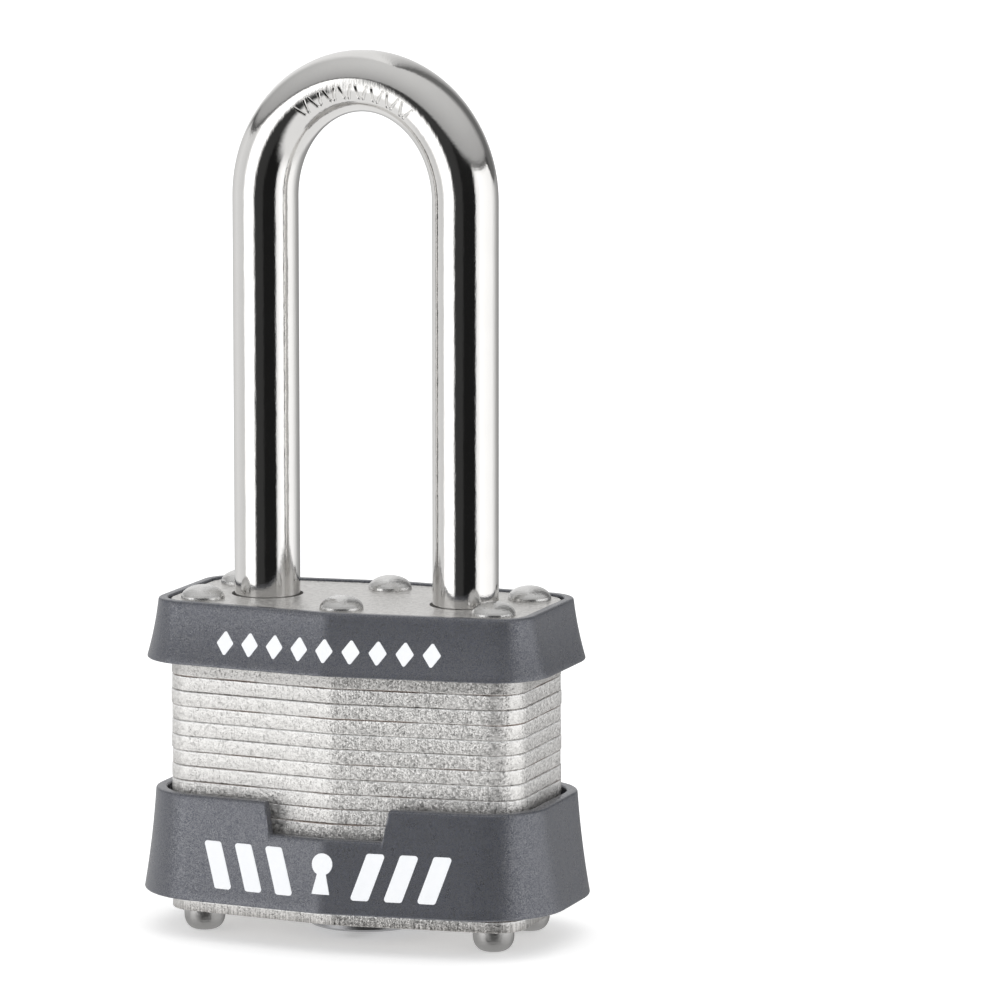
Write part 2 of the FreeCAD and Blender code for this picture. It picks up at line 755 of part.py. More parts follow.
def all_parts():
    """Every sub-part by name."""
    parts = {
        "bottom_cover_plate": cover_plate(),
        "corner_rivets": corner_rivets(),
        "lever_pivot_rivet_front": middle_rivet(-1),
        "lever_pivot_rivet_rear": middle_rivet(1),
        "upper_bumper": upper_bumper(),
        "lower_bumper": lower_bumper(),
        "shackle": shackle(),
        "heel_retainer": heel_retainer(),
        "shackle_spring": shackle_spring(),
        "cylinder_shell": cylinder_shell(),
        "pin_cover": pin_cover(),
        "plug": plug(),
        "plug_clip": plug_clip(),
        "tailpiece": tailpiece(),
        "heel_lever": heel_lever(),
        "toe_lever": toe_lever(),
        "heel_lever_spring": heel_lever_spring(),
        "toe_lever_spring": toe_lever_spring(),
    }
    for i in range(CYLINDER_PLATES):
        parts[f"cylinder_plate_{i + 1:02d}"] = cylinder_plate(i)
    for i in range(DIVIDER_PLATES):
        parts[f"divider_plate_{i + 1}"] = divider_plate(i)
    for i in range(LEVER_PLATES):
        parts[f"lever_plate_{i + 1}"] = lever_plate(i)
    for i in range(UPPER_PLATES):
        parts[f"upper_plate_{i + 1}"] = upper_plate(i)
    for i in range(PIN_COUNT):
        parts[f"key_pin_{i + 1}"] = key_pin(i)
        parts[f"driver_pin_{i + 1}"] = driver_pin(i)
        parts[f"pin_spring_{i + 1}"] = pin_spring(i)
    return parts


os.makedirs("parts", exist_ok=True)
for name, shape in all_parts().items():
    shape.exportStep(f"parts/{name}.step")
    solids = len(shape.Solids)
    print(f"{name}: {solids} solid(s), {shape.Volume:.2f} mm3, valid {shape.isValid()}")
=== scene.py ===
"""The looks of a laminated padlock: its finishes, its fine shackle and bumpers, and a pale studio.

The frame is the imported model's, in metres: +Z up, origin at the foot of the bottom rivets, front at -Y.
Lengths named here are in millimetres and angles in degrees, and MM turns them into metres.
"""

import json
import math

import bmesh
import bpy
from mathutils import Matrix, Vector


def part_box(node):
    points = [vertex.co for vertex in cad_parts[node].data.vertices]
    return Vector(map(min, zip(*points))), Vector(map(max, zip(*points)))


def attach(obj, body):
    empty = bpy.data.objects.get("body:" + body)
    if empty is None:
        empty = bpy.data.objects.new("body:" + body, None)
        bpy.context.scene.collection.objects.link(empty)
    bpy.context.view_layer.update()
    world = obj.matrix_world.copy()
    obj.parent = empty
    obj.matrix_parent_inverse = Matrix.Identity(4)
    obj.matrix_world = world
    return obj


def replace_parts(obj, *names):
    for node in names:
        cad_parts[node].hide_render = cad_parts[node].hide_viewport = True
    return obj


MM = 0.001
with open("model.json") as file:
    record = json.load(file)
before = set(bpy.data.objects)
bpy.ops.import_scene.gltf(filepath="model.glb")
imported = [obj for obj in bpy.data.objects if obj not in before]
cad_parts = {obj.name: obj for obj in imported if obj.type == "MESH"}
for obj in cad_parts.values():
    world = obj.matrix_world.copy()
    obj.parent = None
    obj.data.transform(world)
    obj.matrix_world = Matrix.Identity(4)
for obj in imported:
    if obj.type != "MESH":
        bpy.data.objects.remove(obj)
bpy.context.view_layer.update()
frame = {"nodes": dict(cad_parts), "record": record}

# Camera: it looks at VIEW_TARGET from VIEW_AZIMUTH round towards +X
VIEW_TARGET = (15.1, 0, 46.95)
VIEW_AZIMUTH = 20.0
VIEW_ELEVATION = 8.28
VIEW_DISTANCE = 671.0
LENS = 230.3
SENSOR_WIDTH = 36

# Body plan, as the plates have it
BODY_HALF_WIDTH = 19.95
BODY_HALF_DEPTH = 10.41
BODY_CORNER_R = 3.5
FACET_SLOPE = 0.105
PLATE_T = 1.6
Z_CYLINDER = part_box("cylinder_plate_01")[0].z / MM
Z_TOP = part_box("upper_plate_4")[1].z / MM

# Shackle
BAR_R = 3.5
LEG_X = 11.25
LEG_RISE = 42.5
Z_BOW = Z_TOP + LEG_RISE
BOW_RISE = 12.43
BOW_THINNING = 0.075
TOE_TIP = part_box("divider_plate_1")[0].z / MM + 0.45
TIP_CHAMFER = 0.9
TIP_CURVE = ((0, 1), (0.45, 0.45), (0.75, 0.15), (1, 1 / 30), (1.3, 0))  # up and in, in chamfers
HEEL_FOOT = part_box("shackle")[0].z / MM
HEEL_HEAD_T = 2.0
HEEL_CHAMFER = 0.5
NECK_R = 2.15
NECK_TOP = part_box("divider_plate_1")[0].z / MM + 1.9
NOTCH_FLAT_X = 9.35
NOTCH_HALF_WIDTH = 5
NOTCH_PLAY = 0.1
NOTCH_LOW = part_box("lever_plate_1")[0].z / MM - NOTCH_PLAY
NOTCH_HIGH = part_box("lever_plate_2")[1].z / MM + NOTCH_PLAY
POINT_R = 0.02  # the tip's and the foot's middle, where the tube closes
BAR_SIDES = 96
LEG_RINGS = 12
BOW_RINGS = 72

# The zigzag stamped along the front of the bow; the angles go round the bow, or round the bar
STROKES = 16
STROKE_PITCH = 4.8
STROKE_LEAN = 1.35
STROKE_MIDDLE = -17.0
STROKE_REACH = 16.0
STROKE_GROOVE_R = 0.2
STROKE_DEPTH = 0.16
STROKE_SIDES = 10
STROKE_RINGS = 12

# Bumpers: offsets are measured out from the plates' outline
EDGE_R = 0.24
EDGE_STEPS = 4
CORNER_STEPS = 14
END_STEPS = 4
FLANK_ROWS = 12
MIN_CORNER_R = 0.6
FLARE_START = 0.55
KINK_HALF = 0.6
KINK_STEPS = 4
LEDGE_IN = 1.16
LEDGE_T = 1.4
OUTER_COLUMNS = (12.5, 11.0, 9.5, 8.4)
PLAIN_COLUMN = 7.2
INNER_COLUMNS = (5.0, 3.8, 2.6, 1.6, 0.9)
UPPER = {
    "rim_z": Z_TOP + 0.2,
    "height": 6.5,
    "offsets": (1.1, 2.66),
    "corners": (3.9, 6.4),
    "wall": 1.05,
    "ledge_z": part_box("upper_plate_3")[0].z / MM,
}
LOWER = {
    "rim_z": Z_TOP - 20.3,
    "height": 11.05,
    "offsets": (1.95, 3.6),
    "corners": (6.4, 9.2),
    "wall": 1.2,
    "ledge_z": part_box("cylinder_plate_05")[0].z / MM,
}

# The notch in the lower bumper's front edge
WINDOW_TOP_HALF = 7.05
WINDOW_FOOT_HALF = 6.25
WINDOW_H = 3.35
WINDOW_STEPS = 16

# Printed marks: half sizes are (across, up)
MARK_T = 0.05
MARK_SINK = 0.08
MARK_BEVEL = 0.94
MARK_GAP = 0.25
BAR_HALF = (1.0, 2.45)
BAR_SLANT = 0.8
BAR_COUNT = 3
BAR_START = 5.0
BAR_PITCH = 3.6
BAR_CORNER_R = 0.3
BAR_Z = Z_TOP - 27.3
EYE_R = 1.15
EYE_STEPS = 28
EYE_ABOVE_BARS = 1.1
SLOT_NECK_HALF = 0.5
SLOT_FOOT = (1.0, 3.1)
LOZENGE_HALF = (1.0, 1.35)
LOZENGE_COUNT = 9
LOZENGE_PITCH = 2.9
LOZENGE_CORNER_R = 0.2
LOZENGE_Z = Z_TOP - 3.7

# What reflections see. Walls and rear: (azimuth from the front towards +X, level) all the way round.
WALLS = (
    (-180, 0.30),
    (-165, 0.34),
    (-140, 0.66),
    (-100, 0.85),
    (-63, 0.72),
    (-54, 1.7),
    (-24, 1.7),
    (-16, 0.045),
    (10, 0.040),
    (16, 0.012),
    (54, 0.012),
    (60, 1.05),
    (75, 1.35),
    (125, 1.15),
    (155, 0.42),
    (180, 0.30),
)
# The ceiling behind the lock, and how much of it is used at each azimuth
REAR = ((-180, 0.5), (-158.4, 0.9), (0, 0.9), (122.4, 0.16), (162, 0.16), (180, 0.5))
REAR_SHARE = ((-180, 1.0), (-136.8, 1.0), (-115.2, 0.0), (122.4, 0.0), (144, 1.0))
# The ceiling elsewhere: (position, level), where 0.5 is level with the eye and 1 straight up
CEILING = ((0.0, 0.04), (0.62, 0.04), (0.65, 0.42), (0.80, 0.55), (1.0, 0.70))
# Heights, from -1 straight down to 1 straight up, where the walls end; the rear wall ends lower
CEILING_EDGE = (0.205, 0.235)
REAR_LIFT = 0.2
FLOOR_EDGE = (-0.62, -0.42)
FLOOR_LEVEL = (0.90, 0.90, 0.90)
FLOOR_HALF = 8000.0
WHITE = (1.0, 1.0, 1.0)


# ---- Node trees ----


class Tree:
    """A node tree that is built by naming each node's inputs."""

    def __init__(self, tree):
        self.tree = tree
        self.tree.nodes.clear()

    def add(self, kind, settings=None, **inputs):
        """A node of that kind; inputs are sockets to link or values to set, by name or _index."""
        node = self.tree.nodes.new(kind)
        for key, value in (settings or {}).items():
            setattr(node, key, value)
        for key, value in inputs.items():
            name = int(key[1:]) if key[0] == "_" else key.replace("_", " ")
            if isinstance(value, bpy.types.NodeSocket):
                self.tree.links.new(value, node.inputs[name])
            else:
                node.inputs[name].default_value = value
        return node

    def math(self, operation, a, b=0.0):
        return self.add("ShaderNodeMath", {"operation": operation}, _0=a, _1=b).outputs[0]

    def rest_of(self, mask):
        """1 where the mask is 0, and 0 where it is 1."""
        return self.math("SUBTRACT", 1.0, mask)

    def steps(self, value, low, high):
        """0 below low and 1 above high, with a smooth rise between."""
        settings = {"interpolation_type": "SMOOTHSTEP"}
        node = self.add("ShaderNodeMapRange", settings, _0=value, _1=low, _2=high)
        return node.outputs[0]

    def mix(self, factor, a, b):
        """A colour mix; a and b are colours or sockets."""
        node = self.add("ShaderNodeMix", {"data_type": "RGBA"})
        for index, value in ((0, factor), (6, a), (7, b)):
            if isinstance(value, bpy.types.NodeSocket):
                self.tree.links.new(value, node.inputs[index])
            elif index:
                node.inputs[index].default_value = (*value, 1)
            else:
                node.inputs[index].default_value = value
        return node.outputs[2]

    def tint(self, colour, mask, strength, towards):
        """The colour drawn towards another one where the mask is 1, by the strength at most."""
        return self.mix(self.math("MULTIPLY", mask, strength), colour, towards)

    def spread(self, value, low, high):
        """value from 0 to 1 spread over low to high."""
        return self.add("ShaderNodeMapRange", _0=value, _3=low, _4=high).outputs[0]

    def ramp(self, value, stops):
        """A grey ramp through (position, level) stops."""
        node = self.add("ShaderNodeValToRGB", Fac=value)
        elements = node.color_ramp.elements
        while len(elements) < len(stops):
            elements.new(0.5)
        for element, (position, level) in zip(elements, stops):
            element.position = position
            element.color = (level, level, level, 1)
        return node.outputs[0]

    def noise(self, size, detail=2.0, roughness=0.5, stretch=(1, 1, 1)):
        """Noise whose grains are about size millimetres across, longer where stretch is larger."""
        place = self.add("ShaderNodeTexCoord").outputs["Object"]
        shrink = [1 / s for s in stretch]
        place = self.add("ShaderNodeMapping", Vector=place, Scale=shrink).outputs[0]
        scale = 1 / (size * MM)
        node = self.add(
            "ShaderNodeTexNoise", Vector=place, Scale=scale, Detail=detail, Roughness=roughness
        )
        return node.outputs[0]

    def tilted(self, directions, tilt, normal):
        """The normal leaned by a colour's random directions; tilt is how strongly."""
        half = (0.5, 0.5, 0.5)
        lean = self.add("ShaderNodeVectorMath", {"operation": "SUBTRACT"}, _0=directions, _1=half)
        reach = (tilt, tilt, tilt)
        settings = {"operation": "MULTIPLY_ADD"}
        lean = self.add("ShaderNodeVectorMath", settings, _0=lean.outputs[0], _1=reach, _2=normal)
        settings = {"operation": "NORMALIZE"}
        return self.add("ShaderNodeVectorMath", settings, _0=lean.outputs[0]).outputs[0]

    def cells(self, size):
        """A random colour for each grain about size millimetres across."""
        place = self.add("ShaderNodeTexCoord").outputs["Object"]
        return self.add("ShaderNodeTexVoronoi", Vector=place, Scale=1 / (size * MM)).outputs["Color"]


def material(name):
    """A new material, its tree and a tree-ready Principled shader."""
    made = bpy.data.materials.new(name)
    made.use_nodes = True
    tree = Tree(made.node_tree)
    shader = tree.add("ShaderNodeBsdfPrincipled")
    tree.add("ShaderNodeOutputMaterial", Surface=shader.outputs[0])
    return made, tree, shader


def feed(tree, shader, **inputs):
    """Links or sets the shader's inputs by name."""
    for key, value in inputs.items():
        socket = shader.inputs[key.replace("_", " ")]
        if isinstance(value, bpy.types.NodeSocket):
            tree.tree.links.new(value, socket)
        elif isinstance(value, tuple) and len(value) == 3:
            socket.default_value = (*value, 1)
        else:
            socket.default_value = value


def bump(tree, height, depth):
    """A bump whose full height is depth millimetres."""
    return tree.add("ShaderNodeBump", Strength=1.0, Distance=depth * MM, Height=height).outputs[0]


# ---- Materials ----


def plate_normal(tree, flat, grain, rolled):
    """The plates' relief: coarse and torn on the sheared edges, faint rolling lines on the faces."""
    shear = tree.noise(0.22, 2.0, 0.6, stretch=(1, 1, 4))
    torn = tree.math("ADD", grain, tree.math("MULTIPLY", shear, 0.5))
    edge_normal = bump(tree, torn, 0.085)
    face_normal = bump(tree, rolled, 0.006)
    settings = {"data_type": "VECTOR"}
    normal = tree.add("ShaderNodeMix", settings, _0=flat, _4=edge_normal, _5=face_normal)
    return tree.tilted(tree.cells(0.13), 0.36, normal.outputs[1])


def plate_joints(tree, colour, height, edge, grain):
    """The colour with each plate's edge burnished towards its top, and the joints stained brown."""
    level = tree.math("DIVIDE", tree.math("SUBTRACT", height, Z_CYLINDER * MM), PLATE_T * MM)
    across = tree.math("FRACT", level)
    burnish = tree.steps(tree.math("ADD", across, tree.math("MULTIPLY", grain, 0.5)), 0.45, 1.0)
    burnish = tree.math("MULTIPLY", burnish, edge)
    colour = tree.tint(colour, burnish, 0.35, (0.98, 0.97, 0.95))
    burr = tree.math("MULTIPLY", tree.steps(across, 0.80, 0.90), edge)
    colour = tree.tint(colour, burr, 0.5, (0.98, 0.98, 0.98))

    nearest = tree.math("ROUND", level)
    gap = tree.math("ABSOLUTE", tree.math("SUBTRACT", level, nearest))
    joint = tree.rest_of(tree.steps(gap, 0.02, 0.075))
    settings = {"noise_dimensions": "1D"}
    chance = tree.add("ShaderNodeTexWhiteNoise", settings, W=nearest).outputs[0]
    patch = tree.steps(tree.noise(7.0, 2.0), 0.40, 0.62)
    stain = tree.math("MULTIPLY", joint, tree.steps(chance, 0.2, 0.9))
    stain = tree.math("MULTIPLY", stain, tree.spread(patch, 0.15, 1.0))
    stain = tree.math("MULTIPLY", stain, edge)
    return tree.mix(stain, colour, (0.16, 0.07, 0.03))


def zinc_plate():
    """Zinc-plated stamped steel: sheared, grainy edges, rolled faces and stained joints, with painted
    shade under the upper bumper and on the bottom plate.
    """
    made, tree, shader = material("zinc_plate")
    coords = tree.add("ShaderNodeTexCoord").outputs
    facing = tree.add("ShaderNodeSeparateXYZ", Vector=coords["Normal"]).outputs[2]
    height = tree.add("ShaderNodeSeparateXYZ", Vector=coords["Object"]).outputs[2]
    flat = tree.steps(tree.math("ABSOLUTE", facing), 0.75, 0.95)
    edge = tree.rest_of(flat)
    grain = tree.noise(0.34, 3.0, 0.7, stretch=(1.5, 1.5, 1))
    speck = tree.steps(grain, 0.36, 0.60)
    rolled = tree.noise(0.18, 2.0, 0.6, stretch=(14, 1, 1))
    blotch = tree.noise(2.6, 3.0, 0.6)
    colour = tree.mix(blotch, (0.70, 0.69, 0.67), (0.83, 0.815, 0.795))

    # painted shade on the thin bottom plate: it is darkened as if shadowed, with real upright shear marks
    ribs = tree.steps(tree.noise(0.2, 2.0, 0.6, stretch=(1, 1, 40)), 0.4, 0.6)
    shaded_ribs = tree.mix(ribs, (0.12, 0.11, 0.10), (0.52, 0.50, 0.48))
    lowest = tree.rest_of(tree.steps(height, (Z_CYLINDER - 0.35) * MM, (Z_CYLINDER + 0.15) * MM))
    colour = tree.tint(colour, lowest, 0.8, shaded_ribs)

    scuff = tree.math("MULTIPLY", flat, tree.steps(rolled, 0.35, 0.65))
    colour = tree.tint(colour, scuff, 0.35, (0.50, 0.48, 0.46))

    # painted shade just under the upper bumper: the plate edges there are darkened as if shadowed
    foot = UPPER["rim_z"] - UPPER["height"]
    painted_shade_under_bumper = tree.steps(height, (foot - 2.3) * MM, (foot - 0.1) * MM)
    painted_shade_under_bumper = tree.math("MULTIPLY", painted_shade_under_bumper, edge)
    colour = tree.tint(colour, painted_shade_under_bumper, 0.6, (0.22, 0.21, 0.20))

    pitted = tree.mix(0.40, colour, (0.40, 0.39, 0.38))
    colour = tree.mix(speck, pitted, colour)
    feed(
        tree,
        shader,
        Base_Color=plate_joints(tree, colour, height, edge, grain),
        Metallic=tree.spread(speck, 0.92, 0.55),
        Roughness=tree.spread(blotch, 0.28, 0.38),
        Normal=plate_normal(tree, flat, grain, rolled),
    )
    return made


def zinc_rivet():
    """Plated rivet steel, smooth and slightly dimpled on top, darker and rougher towards the lower ends.
    """
    made, tree, shader = material("zinc_rivet")
    dimple = tree.noise(0.9, 2.0)
    pit = tree.noise(0.15, 2.0)
    cloud = tree.noise(1.6, 3.0)
    place = tree.add("ShaderNodeTexCoord").outputs["Object"]
    height = tree.add("ShaderNodeSeparateXYZ", Vector=place).outputs[2]
    low = tree.rest_of(tree.steps(height, 1.0 * MM, 4.0 * MM))
    colour = tree.mix(cloud, (0.62, 0.61, 0.60), (0.84, 0.84, 0.83))
    relief = tree.math("ADD", dimple, tree.math("MULTIPLY", pit, 0.12))
    feed(
        tree,
        shader,
        Base_Color=tree.tint(colour, low, 0.8, (0.24, 0.235, 0.23)),
        Metallic=1.0,
        Roughness=tree.math("ADD", tree.spread(cloud, 0.2, 0.32), tree.math("MULTIPLY", low, 0.2)),
        Normal=bump(tree, relief, 0.08),
    )
    return made


def chrome():
    """Bright plating over a drawn bar: faint lengthwise waves and fine pits."""
    made, tree, shader = material("chrome")
    wave = tree.noise(0.45, 2.0, 0.6, stretch=(1, 1, 5))
    pit = tree.noise(0.2, 3.0, 0.75)
    haze = tree.noise(3.0, 3.0)
    relief = tree.math("ADD", wave, tree.math("MULTIPLY", pit, 0.5))
    feed(
        tree,
        shader,
        Base_Color=tree.mix(haze, (0.76, 0.75, 0.735), (0.82, 0.81, 0.795)),
        Metallic=1.0,
        Roughness=tree.spread(haze, 0.04, 0.09),
        Normal=bump(tree, relief, 0.009),
    )
    return made


def bumper_plastic():
    """Satin charcoal plastic with a fine metallic fleck."""
    made, tree, shader = material("bumper_plastic")
    cells = tree.cells(0.085)
    chance = tree.add("ShaderNodeSeparateColor", Color=cells).outputs[0]
    fleck = tree.spread(chance, 0.05, 0.85)
    cloud = tree.noise(1.2, 2.0)
    skin = tree.noise(0.3, 3.0, 0.6)
    base = tree.mix(cloud, (0.038, 0.043, 0.062), (0.051, 0.057, 0.080))
    feed(
        tree,
        shader,
        Base_Color=tree.mix(fleck, base, (0.25, 0.253, 0.265)),
        Metallic=fleck,
        Roughness=tree.spread(cloud, 0.25, 0.31),
        Normal=tree.tilted(cells, 0.16, bump(tree, skin, 0.01)),
    )
    return made


def mark_white():
    """White pad-printed enamel."""
    made, tree, shader = material("mark_white")
    cloud = tree.noise(0.6, 3.0)
    feed(
        tree,
        shader,
        Base_Color=tree.mix(cloud, (0.88, 0.90, 0.93), (0.93, 0.94, 0.96)),
        Roughness=tree.spread(cloud, 0.4, 0.55),
        Normal=bump(tree, cloud, 0.01),
    )
    return made


def plain_metal(name, dark, light, roughness, streak, grain_size=0.3, depth=0.01):
    """A machined or drawn metal: colour between dark and light, grain drawn out by streak."""
    made, tree, shader = material(name)
    grain = tree.noise(grain_size, 3.0, 0.6, stretch=streak)
    cloud = tree.noise(1.5, 3.0)
    feed(
        tree,
        shader,
        Base_Color=tree.tint(tree.mix(cloud, dark, light), grain, 0.3, dark),
        Metallic=1.0,
        Roughness=tree.spread(cloud, roughness - 0.06, roughness + 0.08),
        Normal=bump(tree, grain, depth),
    )
    return made


def floor_paper():
    """A pale, very slightly mottled studio floor, clear when seen from below."""
    made, tree, shader = material("floor_paper")
    cloud = tree.noise(60.0, 3.0)
    feed(
        tree,
        shader,
        Base_Color=tree.mix(cloud, (0.93, 0.93, 0.93), (0.95, 0.95, 0.95)),
        Roughness=0.9,
        Specular_IOR_Level=0.1,
        Emission_Color=WHITE,
        Emission_Strength=0.35,
    )
    below = tree.add("ShaderNodeNewGeometry").outputs["Backfacing"]
    clear = tree.add("ShaderNodeBsdfTransparent").outputs[0]
    sided = tree.add("ShaderNodeMixShader", _0=below, _1=shader.outputs[0], _2=clear)
    output = tree.tree.get_output_node("ALL")
    tree.tree.links.new(sided.outputs[0], output.inputs["Surface"])
    return made


# Inner metals: dark and light colour, roughness, then the grain's streak, size and depth
INNER_METALS = {
    "lever_steel": ((0.30, 0.30, 0.31), (0.46, 0.46, 0.47), 0.36, (1, 6, 1)),
    "spring_steel": ((0.36, 0.36, 0.37), (0.55, 0.55, 0.56), 0.28, (3, 3, 1)),
    "cast_zinc": ((0.34, 0.35, 0.36), (0.50, 0.51, 0.52), 0.5, (1, 1, 1), 0.2, 0.03),
    "plug_nickel": ((0.26, 0.26, 0.27), (0.38, 0.38, 0.39), 0.34, (1, 1, 0.3), 0.25),
    "tail_brass": ((0.50, 0.38, 0.18), (0.66, 0.53, 0.28), 0.32, (1, 1, 0.3), 0.25),
    "pin_brass": ((0.58, 0.45, 0.20), (0.74, 0.60, 0.32), 0.24, (1, 1, 0.3), 0.2),
}
MATERIALS = {
    "plate_steel": zinc_plate(),
    "rivet_steel": zinc_rivet(),
    "bumper_plastic": bumper_plastic(),
    "shackle_chrome": chrome(),
    "mark_white": mark_white(),
}
for slot, settings in INNER_METALS.items():
    MATERIALS[slot] = plain_metal(slot, *settings)


# ---- Mesh helpers ----

SMOOTH_BELOW = 35.0


def smooth(mesh, angle):
    """Smooth shading, except across edges sharper than the angle."""
    mesh.polygons.foreach_set("use_smooth", [True] * len(mesh.polygons))
    mesh.set_sharp_from_angle(angle=math.radians(angle))


def mesh_object(name, verts, faces, finish, smooth_below=SMOOTH_BELOW):
    """A mesh piece from points in millimetres, in one finish or none."""
    mesh = bpy.data.meshes.new(name)
    mesh.from_pydata([Vector(v) * MM for v in verts], [], faces)
    mesh.update()
    form = bmesh.new()
    form.from_mesh(mesh)
    bmesh.ops.recalc_face_normals(form, faces=form.faces)
    form.to_mesh(mesh)
    form.free()
    smooth(mesh, smooth_below)
    piece = bpy.data.objects.new(name, mesh)
    bpy.context.scene.collection.objects.link(piece)
    if finish:
        mesh.materials.append(finish)
    return piece


def ring_faces(rows, columns, close_rows=False):
    """Quads between closed rings of points, and between the last ring and the first if asked."""
    faces = []
    for i in range(rows if close_rows else rows - 1):
        following = (i + 1) % rows
        for j in range(columns):
            k = (j + 1) % columns
            faces.append(
                (i * columns + j, i * columns + k, following * columns + k, following * columns + j)
            )
    return faces


def carve(piece, cutter):
    """Cuts the cutter's shape out of the piece and removes the cutter."""
    modifier = piece.modifiers.new("carve", "BOOLEAN")
    modifier.operation = "DIFFERENCE"
    modifier.solver = "EXACT"
    modifier.object = cutter
    bpy.context.view_layer.update()
    result = bpy.data.meshes.new_from_object(
        piece.evaluated_get(bpy.context.evaluated_depsgraph_get())
    )
    piece.modifiers.clear()
    piece.data = result
    bpy.data.objects.remove(cutter)


# ---- Shackle ----


def bow_frame(angle):
    """Centre, outward direction and half thickness of the bow at an angle from the toe side."""
    centre = Vector((LEG_X * math.cos(angle), 0, Z_BOW + BOW_RISE * math.sin(angle)))
    along = Vector((-LEG_X * math.sin(angle), 0, BOW_RISE * math.cos(angle))).normalized()
    outward = Vector((along.z, 0, -along.x))
    return centre, outward, BAR_R * (1 - BOW_THINNING * math.sin(angle) ** 2)


def shackle_stations():
    """(centre, outward direction, half thickness, half width) from the toe's tip to the heel's foot."""
    toe = Vector((LEG_X, 0, 0))
    out = Vector((1, 0, 0))
    head_top = HEEL_FOOT + HEEL_HEAD_T
    toe_rings = [(TOE_TIP, POINT_R)]
    toe_rings += [(TOE_TIP + TIP_CHAMFER * up, BAR_R - TIP_CHAMFER * inset) for up, inset in TIP_CURVE]
    tip_top = toe_rings[-1][0]
    heel_rings = []
    for i in range(1, LEG_RINGS):
        share = i / LEG_RINGS
        toe_rings.append((tip_top + (Z_BOW - tip_top) * share, BAR_R))
        heel_rings.append((Z_BOW + (NECK_TOP - Z_BOW) * share, BAR_R))
    heel_rings += [
        (NECK_TOP, BAR_R),
        (NECK_TOP, NECK_R),
        (head_top, NECK_R),
        (head_top, BAR_R),
        (HEEL_FOOT + HEEL_CHAMFER, BAR_R),
        (HEEL_FOOT, BAR_R - HEEL_CHAMFER),
        (HEEL_FOOT, POINT_R),
    ]
    stations = [(toe + Vector((0, 0, z)), out, radius, radius) for z, radius in toe_rings]
    for i in range(BOW_RINGS + 1):
        stations.append((*bow_frame(math.pi * i / BOW_RINGS), BAR_R))
    stations += [(-toe + Vector((0, 0, z)), -out, radius, radius) for z, radius in heel_rings]
    return stations


def tube_points(stations, sides):
    """The points of an elliptical tube, one ring for each station."""
    points = []
    for centre, outward, half_thickness, half_width in stations:
        for j in range(sides):
            a = 2 * math.pi * j / sides
            side = Vector((0, math.sin(a) * half_width, 0))
            points.append(centre + outward * (math.cos(a) * half_thickness) + side)
    return points


def box_cutter(name, low, high):
    """A box between two corners, to carve with."""
    x0, y0, z0 = low
    x1, y1, z1 = high
    corners = [(x, y, z) for z in (z0, z1) for y in (y0, y1) for x in (x0, x1)]
    faces = [(0, 1, 3, 2), (4, 5, 7, 6), (0, 1, 5, 4), (2, 3, 7, 6), (0, 2, 6, 4), (1, 3, 7, 5)]
    return mesh_object(name, corners, faces, None)


def stamp_point(angle, around):
    """A point on the bow's surface and its outward normal; around is measured from the front."""
    centre, outward, half = bow_frame(math.radians(angle))
    a = math.radians(around)
    point = centre + outward * math.sin(a) * half + Vector((0, -math.cos(a) * BAR_R, 0))
    normal = outward * math.sin(a) / half + Vector((0, -math.cos(a) / BAR_R, 0))
    return point, normal.normalized()


def stamp_cutter():
    """A zigzag of short round-ended grooves along the front of the bow."""
    verts, faces = [], []
    for n in range(STROKES):
        angle = 90 + (n - (STROKES - 1) / 2) * STROKE_PITCH
        slope = STROKE_LEAN if n % 2 else -STROKE_LEAN

        def along(share):
            return stamp_point(angle + slope * share, STROKE_MIDDLE + STROKE_REACH * share)

        base = len(verts)
        for i in range(STROKE_RINGS + 1):
            share = 2 * i / STROKE_RINGS - 1
            point, normal = along(share)
            ahead, _ = along(share + 0.1)
            side = (ahead - point).cross(normal).normalized()
            radius = STROKE_GROOVE_R * math.sqrt(max(1 - share**8, 0.02))
            seat = point + normal * (STROKE_GROOVE_R - STROKE_DEPTH)
            for j in range(STROKE_SIDES):
                a = 2 * math.pi * j / STROKE_SIDES
                verts.append(seat + (normal * math.cos(a) + side * math.sin(a)) * radius)
        last = base + STROKE_RINGS * STROKE_SIDES
        faces += [tuple(base + k for k in f) for f in ring_faces(STROKE_RINGS + 1, STROKE_SIDES)]
        faces.append(tuple(base + j for j in range(STROKE_SIDES)))
        faces.append(tuple(last + j for j in reversed(range(STROKE_SIDES))))
    return mesh_object("stamp_cutter", verts, faces, None)


def build_shackle():
    """The whole shackle as one bar, with its two lever notches and the stamped zigzag."""
    stations = shackle_stations()
    faces = ring_faces(len(stations), BAR_SIDES)
    last = (len(stations) - 1) * BAR_SIDES
    faces.append(tuple(range(BAR_SIDES)))
    faces.append(tuple(last + j for j in reversed(range(BAR_SIDES))))
    verts = tube_points(stations, BAR_SIDES)
    piece = mesh_object("shackle_bar", verts, faces, MATERIALS["shackle_chrome"])
    for sign in (-1, 1):
        near, far = sorted((0.0, sign * NOTCH_FLAT_X))
        low, high = (near, -NOTCH_HALF_WIDTH, NOTCH_LOW), (far, NOTCH_HALF_WIDTH, NOTCH_HIGH)
        carve(piece, box_cutter("notch_cutter", low, high))
    carve(piece, stamp_cutter())
    smooth(piece.data, SMOOTH_BELOW)
    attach(piece, "shackle")
    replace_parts(piece, "shackle")


# ---- Bumpers ----


def facet_y(x, offset):
    """Distance of the front or back face from the middle plane at x, with its middle eased."""
    reach = abs(x)
    if reach < KINK_HALF:
        reach = (x * x + KINK_HALF * KINK_HALF) / (2 * KINK_HALF)
    return BODY_HALF_DEPTH + offset - FACET_SLOPE * reach


